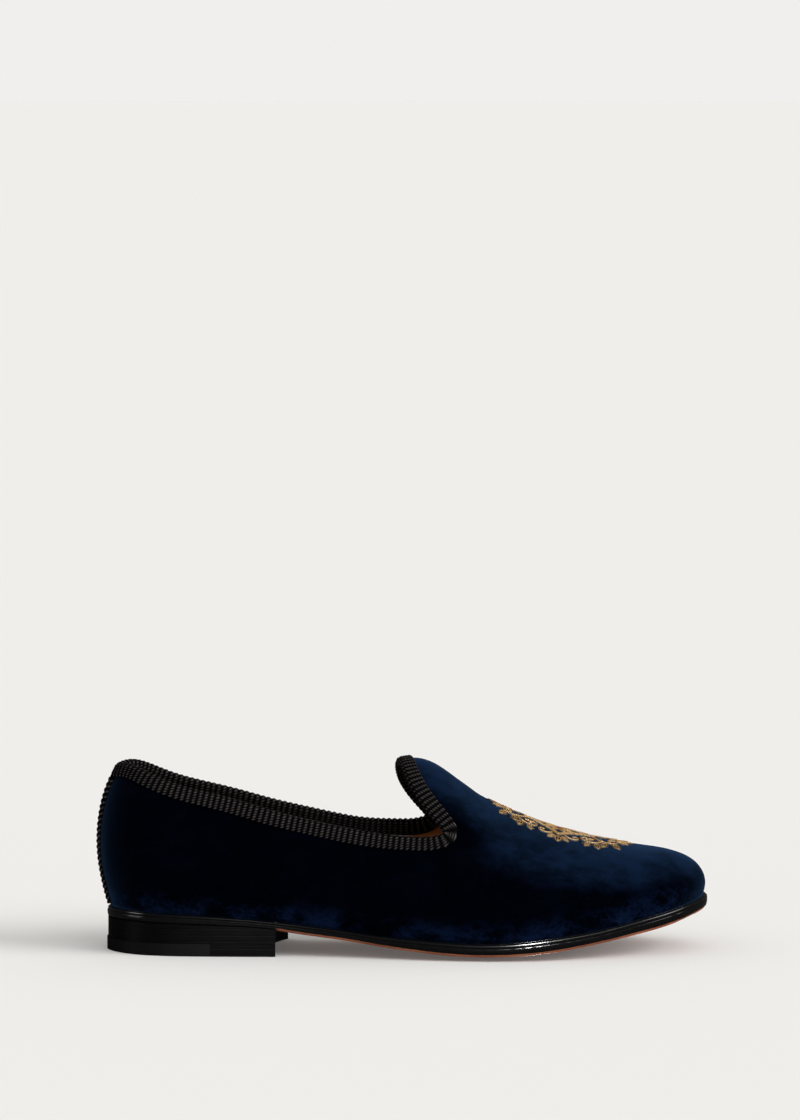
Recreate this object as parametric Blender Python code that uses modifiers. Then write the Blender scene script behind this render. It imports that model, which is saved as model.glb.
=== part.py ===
"""Velvet slipper loafer: one right shoe, 295 mm long, standing on its heel and ball.

The toe points along +X, the outer side along -Y, and the floor is z = 0. Tables and sizes are in
millimetres from the back of the heel, and every mesh is made in metres around the shoe's middle.
"""

import math

import bmesh
import bpy
import numpy as np
from mathutils import Vector
from mathutils.bvhtree import BVHTree

# Driving sizes, in millimetres
MM = 0.001
MIDDLE = (147.5, -0.4)  # where the finished shoe's middle lies in the tables' frame
GAP = 0.3  # clearance between pieces that touch
FOLD_GAP = 0.4  # the same in the ribbon's fold, where the wall's facets lie closer
WALL = 2.0  # velvet with its backing and lining
RIBBON = 1.1  # thickness of the ribbed ribbon
RIBBON_WIDTH = 5.3  # width of the ribbon on each side of the topline
BACK_STRIP_HALF = 6.5
RAND_WIDTH = 9.0
RAND_SHARE = 0.33  # the rand's share of the edge, the rest is the outsole
INSOLE_THICK = 3.2
TOP_PIECE_THICK = 5.7
TOP_PIECE_JOINT = 55.6  # where the rubber meets the leather
TOP_PIECE_PROUD = 0.5
BREAST_OUTER = 87.0
BREAST_INNER = 92.0
BREAST_HOLLOW = 7.0  # how far the breast is cut back at its middle
EDGE_ROUND = 0.8
BALL_CROWN = 2.8  # how far the sole's middle lies below its edges at the ball
WAIST_CROWN = 0.8

# A row for each section. x, outer and inner give the feather line in plan, base is where the
# section's middle lies, lean is how far its top leans back, mid is the y of its top, and wide_o,
# wide_i, side and shoulder are its reach from the middle at those levels. skew is how much further
# back the inner side of the section lies, since the throat is cut square to the curved forefoot.
SECTION_COLUMNS = (
    "x", "outer", "inner", "base", "lean", "mid", "wide_o", "wide_i", "side", "shoulder", "skew",
)
SECTIONS = (
    (6.6, 0.0, 0.0, 34.0, 0.0, 0.0, 32.2, 32.2, 31.0, 20.6, 0.0),
    (12.5, -14.6, 14.2, 34.5, 0.0, 0.0, 32.0, 31.8, 29.6, 18.8, 0.0),
    (24.0, -24.0, 23.5, 36.0, 0.0, 0.0, 31.2, 31.0, 28.2, 18.2, 0.0),
    (42.0, -28.8, 28.6, 44.0, 0.5, 0.0, 32.0, 31.8, 28.4, 18.8, 0.0),
    (65.0, -30.4, 30.4, 65.0, 2.0, 0.0, 32.8, 32.8, 29.2, 19.8, 0.0),
    (90.0, -31.2, 29.2, 90.0, 6.0, 0.0, 33.3, 32.6, 30.0, 20.6, 0.3),
    (115.0, -34.2, 26.8, 115.0, 12.5, 0.5, 36.0, 31.6, 30.8, 21.2, 1.2),
    (140.0, -40.2, 27.6, 140.0, 21.0, 1.0, 42.0, 32.2, 32.8, 21.8, 3.4),
    (165.0, -46.2, 34.2, 165.0, 31.0, 1.5, 48.6, 37.6, 35.6, 23.0, 6.2),
    (186.0, -49.0, 43.0, 186.0, 38.5, 2.0, 52.8, 44.2, 38.2, 23.4, 8.0),
    (205.0, -49.3, 48.0, 205.0, 33.0, 3.0, 54.0, 47.6, 41.6, 24.6, 6.6),
    (225.0, -46.2, 49.0, 225.0, 27.0, 4.0, 51.6, 47.4, 42.2, 25.6, 4.2),
    (245.0, -40.3, 45.6, 245.0, 19.0, 4.6, 46.2, 43.3, 39.4, 25.2, 2.0),
    (262.0, -33.5, 40.5, 260.0, 9.0, 5.0, 39.8, 37.2, 34.2, 22.4, 0.6),
    (276.0, -25.5, 33.5, 268.0, 5.0, 5.0, 32.8, 30.9, 28.4, 18.6, 0.0),
    (287.0, -14.0, 23.5, 275.0, 2.5, 5.0, 23.8, 23.3, 20.6, 13.2, 0.0),
    (293.4, 5.0, 5.0, 280.0, 0.0, 5.0, 14.3, 14.3, 12.4, 6.5, 0.0),
)
THROAT_ROW = 9
INNER_CORNER_BACK = 8.0  # how much further back the topline's corner lies on the inner side
INNER_LOWER = 0.8  # how much lower the topline runs on the inner side
# Each point of a section: its share of the height from feather to ridge, of the lean, of the skew
LEVELS = {"wide": (0.27, 0.03, 0.3), "side": (0.58, 0.34, 1.0), "shoulder": (0.86, 0.826, 0.8)}
SKEW_TILT = 0.018  # slope of the section's line across the ridge, for each millimetre of skew

# Side views: x and height
FEATHER = (
    (7.2, 21.4), (36.0, 20.3), (68.2, 18.6), (84.2, 17.2), (103.5, 15.2), (122.7, 12.9),
    (139.1, 11.1), (161.8, 9.7), (175.8, 8.9), (200.0, 9.2), (224.0, 11.8), (243.8, 14.6),
    (263.6, 19.2), (280.0, 22.8), (293.4, 26.4),
)
RIDGE = (
    (34.0, 104.0), (60.0, 98.0), (90.0, 93.0), (120.0, 91.0), (147.5, 91.6), (154.0, 92.8),
    (160.0, 91.8), (166.0, 88.4), (171.0, 84.4), (176.0, 80.6), (185.0, 74.1), (195.0, 68.4),
    (205.0, 64.1), (214.0, 60.2), (224.0, 57.2), (234.0, 54.5), (243.0, 52.2), (253.0, 50.7),
    (263.0, 49.3), (272.0, 48.0), (280.0, 46.1),
)
TOPLINE = (
    (0.0, 86.6), (10.0, 87.7), (15.0, 88.9), (20.0, 87.9), (26.0, 85.4), (33.0, 82.5), (41.0, 79.8),
    (65.0, 73.8), (84.0, 68.2), (103.5, 63.6), (122.7, 59.4), (142.0, 56.8), (155.0, 56.2),
    (162.0, 56.4), (166.5, 57.4), (169.7, 59.3), (171.6, 62.2),
)
SOLE_EDGE = (
    (4.0, 15.7), (36.0, 15.4), (60.0, 14.6), (85.0, 13.1), (94.0, 11.6), (110.0, 9.6), (122.7, 8.1),
    (135.8, 6.2), (148.8, 4.6), (161.8, 3.3), (174.4, 2.4), (185.0, 2.1), (195.6, 2.3), (215.8, 3.7),
    (231.7, 6.0), (247.7, 8.9), (263.6, 12.0), (280.0, 15.7), (288.7, 18.4), (296.0, 20.4),
)
# How far the sole's edge stands out from the feather line, along the shoe
SOLE_SHOW = (
    (4.0, 0.7), (8.0, 1.1), (14.0, 1.5), (40.0, 1.4), (100.0, 1.3), (160.0, 1.6), (296.0, 1.6),
)

# Mesh density. The quarters and the vamp are cut in stretches of the feather line: how far each
# goes, as a distance from the back (or from the throat) and as a number of steps
QUARTER_STRETCHES = ((48.0, 9), (172.0, 14), (None, 8))
VAMP_STRETCHES = ((66.0, 10), (None, 14))
WALL_STEPS = 7
VAMP_WALL_STEPS = 9
SOLE_STEPS = 34
BREAST_SHARES = (0.0, 0.25, 0.5, 0.75, 1.0)  # points of the hollow breast, from middle to side
CORNER_TURN = math.radians(24)  # a sharper turn of the topline takes more rings of the ribbon
TOE_SPLIT = 2.3  # level of the mesh line from the topline's corner, where it reaches the toe

FINISHES = {
    "velvet": ((0.004, 0.010, 0.030), 0.85, 0.0),
    "ribbon": ((0.012, 0.011, 0.011), 0.70, 0.0),
    "black_edge": ((0.006, 0.006, 0.007), 0.25, 0.0),
    "sole_leather": ((0.23, 0.075, 0.038), 0.50, 0.0),
    "heel_leather": ((0.010, 0.008, 0.008), 0.38, 0.0),
    "heel_rubber": ((0.008, 0.008, 0.008), 0.50, 0.0),
    "lining_leather": ((0.42, 0.18, 0.06), 0.55, 0.0),
}


class Curve:
    """A cubic spline through values at knots: closed, or with a natural start and a set end slope."""

    def __init__(self, knots, values, closed=False, end_slope=None):
        self.knots = np.asarray(knots, float)
        self.values = np.asarray(values, float)
        count = len(self.knots)
        step = np.diff(self.knots)
        rise = np.diff(self.values, axis=0) / step.reshape(-1, *[1] * (self.values.ndim - 1))
        matrix = np.zeros((count, count))
        target = np.zeros_like(self.values)
        for i in range(1, count - 1):
            matrix[i, i - 1 : i + 2] = step[i - 1], 2 * (step[i - 1] + step[i]), step[i]
            target[i] = 6 * (rise[i] - rise[i - 1])
        if closed:
            matrix[0, [0, -1]] = 1, -1
            matrix[-1, [0, 1, -2, -1]] = 2 * step[0], step[0], step[-1], 2 * step[-1]
            target[-1] = 6 * (rise[0] - rise[-1])
        else:
            matrix[0, 0] = 1
            matrix[-1, -1] = 1
        if end_slope is not None:
            matrix[-1, [-2, -1]] = step[-1], 2 * step[-1]
            target[-1] = 6 * (np.asarray(end_slope) - rise[-1])
        self.bend = np.linalg.solve(matrix, target)

    def __call__(self, at):
        i = int(np.clip(np.searchsorted(self.knots, at) - 1, 0, len(self.knots) - 2))
        step = self.knots[i + 1] - self.knots[i]
        b = (at - self.knots[i]) / step
        a = 1 - b
        curved = (a**3 - a) * self.bend[i] + (b**3 - b) * self.bend[i + 1]
        return a * self.values[i] + b * self.values[i + 1] + curved * step**2 / 6

    def slope(self, at, reach=0.5):
        return (self(at + reach) - self(at - reach)) / (2 * reach)


def side_view(table):
    """A table of x and height as a function of x, held level past its ends."""
    curve = Curve([row[0] for row in table], [row[1] for row in table])
    low, high = table[0][0], table[-1][0]
    return lambda x: float(curve(min(max(x, low), high)))


def eased(x, low, high):
    """0 below low, 1 above high and smooth between."""
    share = min(1.0, max(0.0, (x - low) / (high - low)))
    return share**2 * (3 - 2 * share)


class Last:
    """The form that the shoe is made on, from the tables above."""

    def __init__(self):
        self.feather = side_view(FEATHER)
        self.ridge = Curve([row[0] for row in RIDGE], [row[1] for row in RIDGE])
        rows = [dict(zip(SECTION_COLUMNS, row)) for row in SECTIONS]
        outer = [self.columns(row, row["outer"], row["wide_o"]) for row in rows]
        inner = [self.columns(row, row["inner"], row["wide_i"]) for row in rows]
        chords = [
            (math.dist(outer[i][:2], outer[i + 1][:2]) + math.dist(inner[i][:2], inner[i + 1][:2])) / 2
            for i in range(len(rows) - 1)
        ]
        self.at_row = np.concatenate([[0], np.cumsum(chords)])
        self.toe = self.at_row[-1]
        self.throat = self.at_row[THROAT_ROW]
        loop = outer + inner[-2::-1]
        knots = np.concatenate([self.at_row, 2 * self.toe - self.at_row[-2::-1]])
        self.around = Curve(knots, loop, closed=True)

    @staticmethod
    def columns(row, y, wide):
        rest = (row["base"], row["lean"], row["mid"], wide, row["side"], row["shoulder"], row["skew"])
        return [row["x"], y, *rest]

    def station(self, along, side):
        """The section's numbers at a distance along the feather line, on side -1 (outer) or 1."""
        return self.around(along if side < 0 else 2 * self.toe - along)

    def foot(self, along, side):
        """Feather point in plan, the direction outwards there, and the middle it is measured from."""
        x, y, base, _, mid = self.station(along, side)[:5]
        middle = np.array([base, mid])
        out = np.array([x, y]) - middle
        return np.array([x, y]), out / np.linalg.norm(out), middle

    def along_at(self, x, side):
        """Distance along the feather line at which it reaches x."""
        low, high = 0.0, self.toe
        for _ in range(50):
            half = (low + high) / 2
            if self.station(half, side)[0] < x:
                low = half
            else:
                high = half
        return low

    def wall(self, along, side):
        """The wall's curve from feather line to ridge, as a function of level 0 to 4."""
        x, _, _, lean, _, wide, half, shoulder, skew = self.station(along, side)
        foot, out, middle = self.foot(along, side)
        ridge_x = middle[0] - lean
        low, high = self.feather(x), float(self.ridge(ridge_x))
        points = [[*foot, low]]
        for reach, name in ((wide, "wide"), (half, "side"), (shoulder, "shoulder")):
            height, lean_share, skew_share = LEVELS[name]
            place = middle + out * reach
            back = lean * lean_share + (skew * skew_share if side > 0 else 0.0)
            points.append([place[0] - back, place[1], low + height * (high - low)])
        points.append([ridge_x, middle[1], high])
        points = np.array(points)
        knots = np.concatenate([[0], np.cumsum(np.linalg.norm(np.diff(points, axis=0), axis=1))])
        tilted = -out[0] + SKEW_TILT * skew * side
        inwards = np.array([tilted, -out[1], tilted * self.ridge.slope(ridge_x)])
        curve = Curve(knots, points, end_slope=inwards / np.linalg.norm(inwards))
        return lambda level: curve(float(np.interp(level, range(5), knots)))


class Topline:
    """Level at which each wall of the quarters ends."""

    def __init__(self, last):
        self.last = last
        self.height = side_view(TOPLINE)

    def at(self, x, side):
        """Height of the topline. On the inner side it is lower and its front part further back."""
        if side < 0:
            return self.height(x)
        front = eased(x, 90.0, 155.0)
        lower = eased(x, 14.0, 44.0) * (1 - front)
        return self.height(x + INNER_CORNER_BACK * front) - INNER_LOWER * lower

    def level(self, along, side):
        wall = self.last.wall(along, side)
        low, high = 1.0, 3.9
        for _ in range(40):
            half = (low + high) / 2
            point = wall(half)
            if point[2] < self.at(point[0], side):
                low = half
            else:
                high = half
        return low


def metres(point):
    return ((point[0] - MIDDLE[0]) * MM, (point[1] - MIDDLE[1]) * MM, point[2] * MM)


def add_object(mesh_builder, name, finish):
    """Turns a bmesh into a named object of the shoe with its own material."""
    mesh = bpy.data.meshes.new(name)
    mesh_builder.to_mesh(mesh)
    mesh_builder.free()
    obj = bpy.data.objects.new(name, mesh)
    SHOE.objects.link(obj)
    colour, roughness, metallic = FINISHES[finish]
    material = bpy.data.materials.new(name + "_" + finish)
    material.use_nodes = True
    shader = material.node_tree.nodes["Principled BSDF"]
    shader.inputs["Base Color"].default_value = (*colour, 1)
    shader.inputs["Roughness"].default_value = roughness
    shader.inputs["Metallic"].default_value = metallic
    mesh.materials.append(material)
    mesh.shade_smooth()
    mesh.set_sharp_from_angle(angle=math.radians(40))
    return obj


def add_grid(builder, rows, close_rows=False, close_columns=False):
    """Quads through a grid of points in the tables' millimetres."""
    verts = [[builder.verts.new(metres(p)) for p in row] for row in rows]
    for i in range(len(verts) if close_rows else len(verts) - 1):
        first, second = verts[i], verts[(i + 1) % len(verts)]
        for j in range(len(first) if close_columns else len(first) - 1):
            k = (j + 1) % len(first)
            builder.faces.new((first[j], second[j], second[k], first[k]))


def weld(builder, closed=True):
    """Merges equal points, drops what collapsed and turns the faces outwards."""
    bmesh.ops.remove_doubles(builder, verts=builder.verts, dist=0.001 * MM)
    bmesh.ops.dissolve_degenerate(builder, edges=builder.edges, dist=0.001 * MM)
    if closed:
        gaps = [edge for edge in builder.edges if edge.is_boundary]
        if gaps:
            bmesh.ops.holes_fill(builder, edges=gaps, sides=0)
    bmesh.ops.recalc_face_normals(builder, faces=builder.faces)
    if closed and builder.calc_volume(signed=True) < 0:
        bmesh.ops.reverse_faces(builder, faces=builder.faces)


def stretched(start, end, stretches):
    """Distances from start to end, cut in stretches that each have even steps."""
    found = [start]
    for reach, steps in stretches:
        begin = found[-1]
        stop = end if reach is None else start + reach
        found += [begin + (stop - begin) * (i + 1) / steps for i in range(steps)]
    return found


def make_upper(last, topline):
    """The hollow wall: quarters up to the topline and vamp up to the ridge. Returns its edge too."""
    builder = bmesh.new()
    quarter = stretched(0.0, last.throat, QUARTER_STRETCHES)
    vamp = stretched(last.throat, last.toe, VAMP_STRETCHES)
    edges = {}
    for side in (-1, 1):
        rows = []
        for along in quarter:
            wall = last.wall(along, side)
            top = topline.level(along, side)
            rows.append([wall(top * j / WALL_STEPS) for j in range(WALL_STEPS + 1)])
        add_grid(builder, rows)
        corner = topline.level(last.throat, side)
        whole = []
        for i, along in enumerate(vamp):
            wall = last.wall(along, side)
            split = corner + (TOE_SPLIT - corner) * i / (len(vamp) - 1)
            low = [wall(split * j / WALL_STEPS) for j in range(WALL_STEPS)]
            steps = range(VAMP_WALL_STEPS + 1)
            whole.append(low + [wall(split + (4 - split) * j / VAMP_WALL_STEPS) for j in steps])
        add_grid(builder, whole)
        edges[side] = [row[-1] for row in rows] + whole[0][WALL_STEPS + 1 :]
    weld(builder, closed=False)
    highest = max(builder.faces, key=lambda face: face.calc_center_median().x)
    if highest.normal.x < 0:
        bmesh.ops.reverse_faces(builder, faces=builder.faces)
    skin = BVHTree.FromBMesh(builder)
    upper = add_object(builder, "upper", "velvet")
    shell = upper.modifiers.new("wall", "SOLIDIFY")
    shell.thickness = WALL * MM
    shell.offset = -1
    shell.use_even_offset = True
    return skin, edges[-1] + edges[1][-2:0:-1]


def on_skin(skin, point):
    """The nearest point of the velvet's face to a point in metres, and the normal there."""
    place, normal, _, _ = skin.find_nearest(point)
    return place, normal


def with_corner_points(points):
    """The closed line again, with a point more on each side of every corner."""
    found = []
    count = len(points)
    for i, point in enumerate(points):
        before, after = points[i - 1], points[(i + 1) % count]
        is_corner = (point - before).angle(after - point) > CORNER_TURN
        if is_corner:
            found.append(point.lerp(before, 0.3))
        found.append(point)
        if is_corner:
            found.append(point.lerp(after, 0.3))
    return found


def make_binding(skin, edge):
    """The ribbon folded over the topline: a U-shaped section carried round the edge."""
    points = with_corner_points([Vector(metres(p)) for p in edge])
    count = len(points)
    builder = bmesh.new()
    rings = []
    for i, point in enumerate(points):
        tangent = (points[(i + 1) % count] - points[i - 1]).normalized()
        normal = on_skin(skin, point)[1]
        down = tangent.cross(normal).normalized()
        if i == 0:
            sign = -1 if down.z > 0 else 1
        down = down * sign
        legs = []
        for reach in (0.0, 0.5, 1.0):
            legs.append(on_skin(skin, point + down * reach * RIBBON_WIDTH * MM))
        legs[0] = (point, normal)
        near = [place + n * FOLD_GAP * MM for place, n in legs]
        face = [place + n * (FOLD_GAP + RIBBON) * MM for place, n in legs]
        far = [place - n * (WALL + FOLD_GAP) * MM for place, n in legs]
        back = [place - n * (WALL + FOLD_GAP + RIBBON) * MM for place, n in legs]
        middle = point - normal * WALL / 2 * MM
        crest = [
            middle + normal * (WALL / 2 + 0.5) * MM - down * (FOLD_GAP + 0.8 * RIBBON) * MM,
            middle - down * (FOLD_GAP + RIBBON) * MM,
            middle - normal * (WALL / 2 + 0.5) * MM - down * (FOLD_GAP + 0.8 * RIBBON) * MM,
        ]
        under = [far[0] - down * FOLD_GAP * MM, near[0] - down * FOLD_GAP * MM]
        rings.append([*face[::-1], *crest, *back, *far[:0:-1], *under, *near[1:]])
    verts = [[builder.verts.new(p) for p in ring] for ring in rings]
    for i in range(count):
        first, second = verts[i], verts[(i + 1) % count]
        for j in range(len(first)):
            k = (j + 1) % len(first)
            builder.faces.new((first[j], second[j], second[k], first[k]))
    weld(builder)
    add_object(builder, "topline_binding", "ribbon")


def make_back_strip(last, topline, skin):
    """The ribbon laid over the seam at the back, from rand to binding."""
    columns = [-BACK_STRIP_HALF + 2 * BACK_STRIP_HALF * i / 4 for i in range(5)]
    faces = []
    for across in columns:
        side = -1 if across <= 0 else 1
        wall = last.wall(abs(across), side)
        top = topline.level(abs(across), side)
        length = math.dist(wall(0), wall(top))
        high = top * (1 - (RIBBON_WIDTH + GAP) / length)
        levels = [top * GAP / length, *(top * j / WALL_STEPS for j in range(1, WALL_STEPS)), high]
        faces.append([on_skin(skin, Vector(metres(wall(level)))) for level in levels])
    builder = bmesh.new()
    rings = []
    for line in faces:
        near = [place + n * GAP * MM for place, n in line]
        face = [place + n * (GAP + RIBBON) * MM for place, n in line]
        rings.append([builder.verts.new(p) for p in near + face[::-1]])
    for first, second in zip(rings, rings[1:]):
        for j in range(len(first)):
            k = (j + 1) % len(first)
            builder.faces.new((first[j], second[j], second[k], first[k]))
    weld(builder)
    add_object(builder, "back_strip", "ribbon")


class Sole:
    """Heights and edges of everything under the feather line."""

    def __init__(self, last):
        self.last = last
        self.edge = side_view(SOLE_EDGE)
        self.show = side_view(SOLE_SHOW)

    def rand_top(self, x):
        return self.last.feather(x) - GAP

    def rand_bottom(self, x):
        thick = self.rand_top(x) - self.edge(x) - GAP
        return self.rand_top(x) - RAND_SHARE * thick

    def sole_top(self, x):
        return self.rand_bottom(x) - GAP

    def crown(self, x):
        """How far the middle lies below the edge: none on the heel seat, most at the ball."""
        if x < BREAST_INNER + 2:
            return 0.0
        rise = min(1.0, (x - BREAST_INNER - 2) / 70)
        fall = min(1.0, max(0.0, (290 - x) / 60))
        return (WAIST_CROWN + (BALL_CROWN - WAIST_CROWN) * rise) * fall * min(1.0, rise * 4)

    def sole_bottom(self, x, share):
        """Height of the underside, where share is 1 at the edge and 0 in the middle."""
        return max(0.0, self.edge(x) - self.crown(x) * (1 - share**2.5))


def sweep_outline(
    last, sole, name, finish, profile, outer_span, inner_span, ring=False, hollow=0.0,
):
    """A profile carried round the shoe's outline, between two distances along each side.

    A profile point is a reach (millimetres out from the feather line), a share (1 at that reach,
    0 on the shoe's middle) and a height, as a function of x and share. hollow is how far the front
    end is curved back at its middle; the profile then holds the same shares above and below.
    """
    builder = bmesh.new()
    feet = {-1: [last.foot(along, -1) for along in outer_span]}
    feet[1] = [last.foot(along, 1) for along in inner_span]
    middles = [(a[2] + b[2]) / 2 for a, b in zip(feet[-1], feet[1])]
    for side in (-1, 1):
        rows = []
        for i, ((foot, out, _), middle) in enumerate(zip(feet[side], middles)):
            row = []
            bend = hollow * (i / (len(middles) - 1)) ** 2
            for reach, share, height in profile:
                place = middle + (foot + out * (reach + sole.show(foot[0])) - middle) * share
                x = place[0] - bend * (1 - share**2)
                row.append([x, place[1], height(x, share)])
            rows.append(row)
        add_grid(builder, rows, close_columns=ring)
        if hollow:
            half = len(profile) // 2
            add_grid(builder, [rows[-1][:half], rows[-1][: half - 1 : -1]])
    weld(builder)
    return add_object(builder, name, finish)


def spread(start, end, count):
    return [start + (end - start) * i / count for i in range(count + 1)]


def make_sole(last, sole):
    whole = spread(0.0, last.toe, SOLE_STEPS)
    bottom = sole.sole_bottom
    sweep_outline(
        last, sole, "outsole", "sole_leather",
        [
            (-EDGE_ROUND, 0.0, lambda x, share: sole.sole_top(x)),
            (-EDGE_ROUND / 2, 1.0, lambda x, share: sole.sole_top(x)),
            (0.0, 1.0, lambda x, share: sole.sole_top(x) - EDGE_ROUND / 2),
            (0.0, 1.0, lambda x, share: bottom(x, 1.0) + EDGE_ROUND),
            (-EDGE_ROUND, 1.0, lambda x, share: bottom(x, 1.0)),
            (-EDGE_ROUND, 0.8, bottom),
            (-EDGE_ROUND, 0.55, bottom),
            (-EDGE_ROUND, 0.3, bottom),
            (-EDGE_ROUND, 0.0, bottom),
        ],
        whole, whole,
    )
    sweep_outline(
        last, sole, "rand", "black_edge",
        [
            (-RAND_WIDTH, 1.0, lambda x, share: sole.rand_top(x)),
            (-0.7, 1.0, lambda x, share: sole.rand_top(x)),
            (0.0, 1.0, lambda x, share: (sole.rand_top(x) + sole.rand_bottom(x)) / 2 + 0.2),
            (-0.3, 1.0, lambda x, share: sole.rand_bottom(x)),
            (-RAND_WIDTH, 1.0, lambda x, share: sole.rand_bottom(x)),
        ],
        whole, whole, ring=True,
    )
    inside = -sole.show(200) - WALL - 2 * GAP
    core = -RAND_WIDTH - GAP
    sweep_outline(
        last, sole, "insole", "lining_leather",
        [
            (inside, 0.0, lambda x, share: last.feather(x) + INSOLE_THICK - 0.8),
            (inside, 0.6, lambda x, share: last.feather(x) + INSOLE_THICK - 0.6),
            (inside, 1.0, lambda x, share: last.feather(x) + INSOLE_THICK),
            (inside, 1.0, lambda x, share: last.feather(x)),
            (core, 1.0, lambda x, share: last.feather(x)),
            (core, 1.0, lambda x, share: sole.sole_top(x) + GAP),
            (core, 0.0, lambda x, share: sole.sole_top(x) + GAP),
        ],
        whole, whole,
    )


def make_heel(last, sole):
    """Stacked lifts under the seat, and the two halves of the top piece under them."""
    def block(name, finish, start, ends, reach, low, high):
        spans = []
        for side, end in zip((-1, 1), ends):
            begin = 0.0 if start is None else last.along_at(start, side)
            spans.append(spread(begin, last.along_at(end, side), 12 if start is None else 5))
        profile = [(reach, share, high) for share in BREAST_SHARES]
        profile += [(reach, share, low) for share in reversed(BREAST_SHARES)]
        hollow = BREAST_HOLLOW if ends[1] == BREAST_INNER else 0.0
        sweep_outline(last, sole, name, finish, profile, *spans, hollow=hollow)

    def floor(x, share):
        return 0.0

    def joint(x, share):
        return TOP_PIECE_THICK

    block(
        "heel_stack", "heel_leather", None, (BREAST_OUTER, BREAST_INNER), 0.0,
        lambda x, share: TOP_PIECE_THICK + GAP, lambda x, share: sole.edge(x) - GAP,
    )
    rear_end = TOP_PIECE_JOINT - GAP
    block(
        "heel_top_piece_rubber", "heel_rubber", None, (rear_end, rear_end), TOP_PIECE_PROUD,
        floor, joint,
    )
    block(
        "heel_top_piece_leather", "heel_leather", TOP_PIECE_JOINT, (BREAST_OUTER, BREAST_INNER),
        TOP_PIECE_PROUD, floor, joint,
    )


for leftover in list(bpy.data.objects):
    bpy.data.objects.remove(leftover)
SHOE = bpy.data.collections.new("velvet_slipper_loafer")
bpy.context.scene.collection.children.link(SHOE)

LAST = Last()
TOP = Topline(LAST)
SKIN, EDGE = make_upper(LAST, TOP)
make_binding(SKIN, EDGE)
make_back_strip(LAST, TOP, SKIN)
UNDER = Sole(LAST)
make_sole(LAST, UNDER)
make_heel(LAST, UNDER)
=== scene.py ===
"""The look of a velvet slipper loafer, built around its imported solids.

Metres, toe along +X, outer side along -Y, floor at z = 0. Lengths that are easier to read in
millimetres are written times MM.
"""

import math

import bpy
import numpy as np
from mathutils import Matrix, Vector
from mathutils.bvhtree import BVHTree
from mathutils.kdtree import KDTree


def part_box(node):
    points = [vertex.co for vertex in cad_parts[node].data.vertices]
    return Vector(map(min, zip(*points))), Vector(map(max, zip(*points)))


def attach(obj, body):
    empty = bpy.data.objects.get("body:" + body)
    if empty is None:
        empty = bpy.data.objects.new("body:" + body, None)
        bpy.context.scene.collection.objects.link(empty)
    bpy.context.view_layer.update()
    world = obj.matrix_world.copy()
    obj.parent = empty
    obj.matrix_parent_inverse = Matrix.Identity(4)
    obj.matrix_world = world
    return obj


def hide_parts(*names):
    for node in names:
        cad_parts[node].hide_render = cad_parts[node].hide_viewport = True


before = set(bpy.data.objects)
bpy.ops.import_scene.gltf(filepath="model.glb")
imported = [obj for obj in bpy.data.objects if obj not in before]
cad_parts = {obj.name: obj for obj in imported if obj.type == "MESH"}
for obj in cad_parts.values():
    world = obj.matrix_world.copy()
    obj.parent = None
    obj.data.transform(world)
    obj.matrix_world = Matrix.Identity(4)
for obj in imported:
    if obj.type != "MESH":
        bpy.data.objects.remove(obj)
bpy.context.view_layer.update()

MM = 0.001

# Camera: where it looks, how far away and how high, and where that point lies in the picture
IMAGE_WIDTH, IMAGE_HEIGHT = 800, 1120
LOOK_AT = Vector((0, 0, 45 * MM))
LOOK_AT_PIXEL = (401.9, 855.2)
CAMERA_DISTANCE = 3.0
CAMERA_ELEVATION = math.radians(7.2)
PIXEL_SIZE = 0.4823 * MM  # what one pixel covers at that point

# Ribbed ribbon
RIB_PITCH = 2.75 * MM
RIB_HEIGHT = 0.55 * MM
RIB_STEPS = 9
TWIST_PITCH = 1.25 * MM
TWIST_HEIGHT = 0.16 * MM
RIBBON_THICK = 1.25 * MM
RIBBON_WIDTH = 5.1 * MM
RIBBON_INSIDE = 5.6 * MM
RIBBON_CLEAR = 0.12 * MM
SELVEDGE = 0.8 * MM
BACK_STRIP_HALF = 6.4 * MM
BACK_STEPS = 22
BACK_HEIGHTS = 60

# Strength of the pale surroundings: as seen, as light and as a reflection
SKY_SEEN = 0.871
SKY_LIGHT = 0.62
SKY_ON_GLOSS = 0.06

SOLE_THICK = 4 * MM
CAD_GAP = 0.28 * MM  # the clearance between two solids, closed in the look
CORD_TWIST = 0.8 * MM
EDGE_HEIGHT = 6.4 * MM
EDGE_BULGE = 0.8 * MM
JOINT_REACH = 0.8 * MM  # how far above and below the joint of rand and sole the wax fills it
JOINT_FILL = 0.35 * MM
END_REACH = 14 * MM  # over this length a smoothed piece is drawn out to its solid's ends
BREAST = -58 * MM  # where the heel ends and the bare sole begins
STACK_MIDDLE = 10 * MM  # heights between the lower and the upper face
TOP_PIECE_MIDDLE = 3 * MM

# Layers of the upper's wall
VELVET_THICK = 1.1 * MM
LINING_THICK = 0.7 * MM
AT_FEATHER = 0.01 * MM  # closer to the feather line than this, the velvet's lower rim
TUCKED_IN = 1.6 * CAD_GAP  # how far that rim goes down behind the rand

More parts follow.
